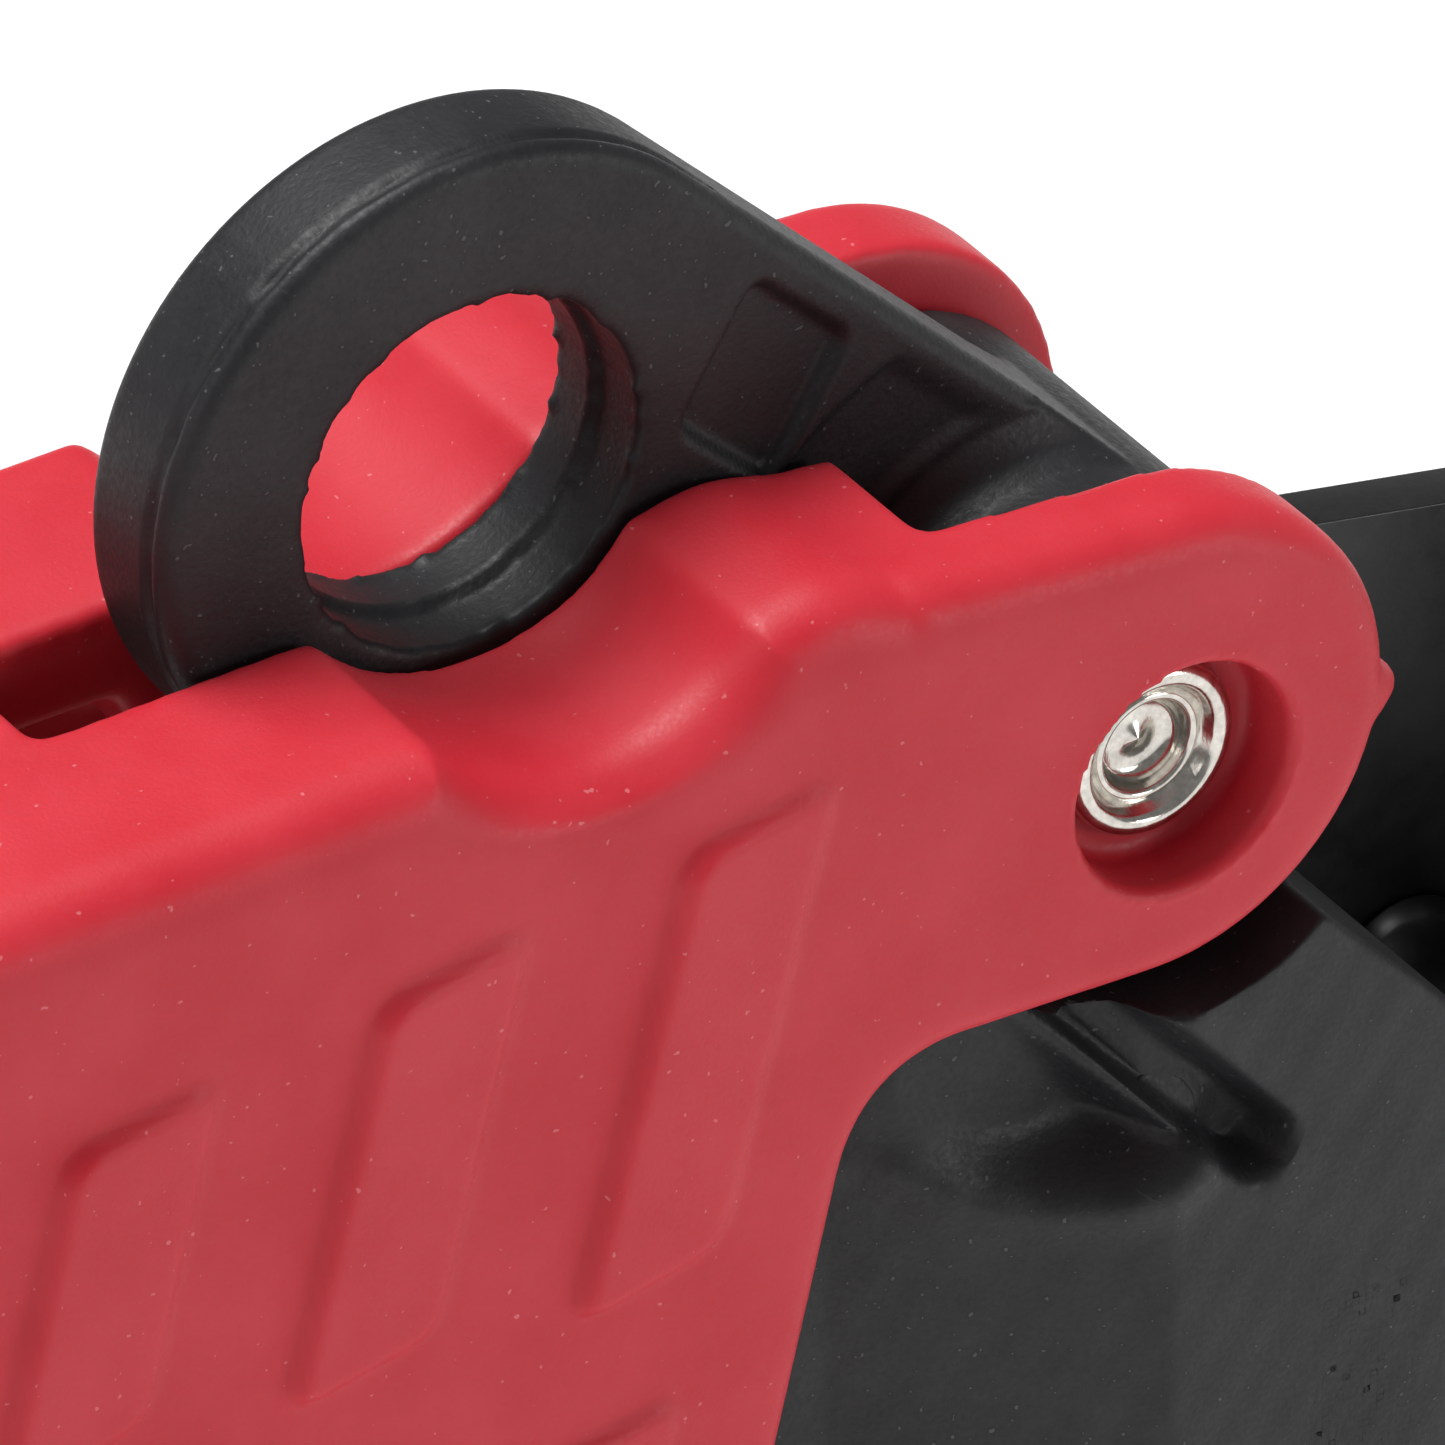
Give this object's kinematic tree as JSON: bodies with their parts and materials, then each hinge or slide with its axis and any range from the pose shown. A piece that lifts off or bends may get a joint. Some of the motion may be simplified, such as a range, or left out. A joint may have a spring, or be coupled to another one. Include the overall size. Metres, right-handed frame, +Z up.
{
  "type": "lever-grip breaker lockout",
  "caption": "Small clamp-on breaker lockout: a red lever closes a plunger jaw against a screw-set pad, and a black eye standing through the lever takes a padlock.",
  "frame": {"origin": "middle of the pillar's foot, straight below the lever's hinge axis", "axes": "+X from the lever's tail towards the thumb wheel, +Z up, -Y the side without the back plate"},
  "size_m": [0.0981, 0.0178, 0.052],
  "materials": {
    "red_plastic": "satin moulded nylon",
    "black_plastic": "fine matte glass-filled nylon",
    "black_plate": "black powder coat",
    "bright_steel": "bright nickel plate",
    "plain_steel": "zinc plated",
    "brass": "turned",
    "rubber": "moulded"
  },
  "bodies": {
    "frame": {"pillar_body": "black_plastic", "padlock_eye": "black_plastic", "hub_sleeve": "plain_steel", "eye_cross_pin": "plain_steel", "plunger_bush": "brass", "back_plate": "black_plate", "stop_peg": "black_plate", "plate_screw_1": "plain_steel", "plate_screw_2": "plain_steel", "plate_screw_3": "plain_steel", "plate_screw_4": "plain_steel", "nut_block": "black_plastic", "captive_nut": "brass", "nut_pocket_plug": "black_plastic"},
    "lever": {"lever_handle": "red_plastic", "hinge_rivet": "bright_steel", "wear_plate": "plain_steel"},
    "plunger": {"plunger_rod": "plain_steel", "plunger_spring": "bright_steel", "plunger_jaw": "plain_steel", "jaw_pad": "rubber"},
    "pad": {"swivel_cup": "plain_steel", "swivel_pad": "rubber", "swivel_clip": "bright_steel"},
    "screw": {"adjusting_screw": "plain_steel", "thumb_wheel": "red_plastic", "wheel_nut": "plain_steel", "wheel_cap": "black_plastic"}
  },
  "joints": [
    {"name": "lever_hinge", "type": "hinge", "parent": "frame", "child": "lever", "pos_m": [0, 0, 0.034], "axis": [0, 1, 0], "range_deg": [0, 60]},
    {"name": "plunger_slide", "type": "slide", "parent": "frame", "child": "plunger", "axis": [-1, 0, 0], "range_m": [0, 0.0041], "deforming": ["plunger_spring"]},
    {"name": "pad_slide", "type": "slide", "parent": "frame", "child": "pad", "axis": [-1, 0, 0], "range_m": [-0.0032, 0.0044]},
    {"name": "wheel_spin", "type": "hinge", "parent": "pad", "child": "screw", "pos_m": [0.04, 0, 0.014], "axis": [-1, 0, 0], "range_deg": [-1445, 1985]}
  ],
  "couplings": [
    {"joint": "plunger_slide", "follows": "lever_hinge", "m_per_rad": 0.0038197},
    {"joint": "wheel_spin", "follows": "pad_slide", "rad_per_m": 7854}
  ]
}
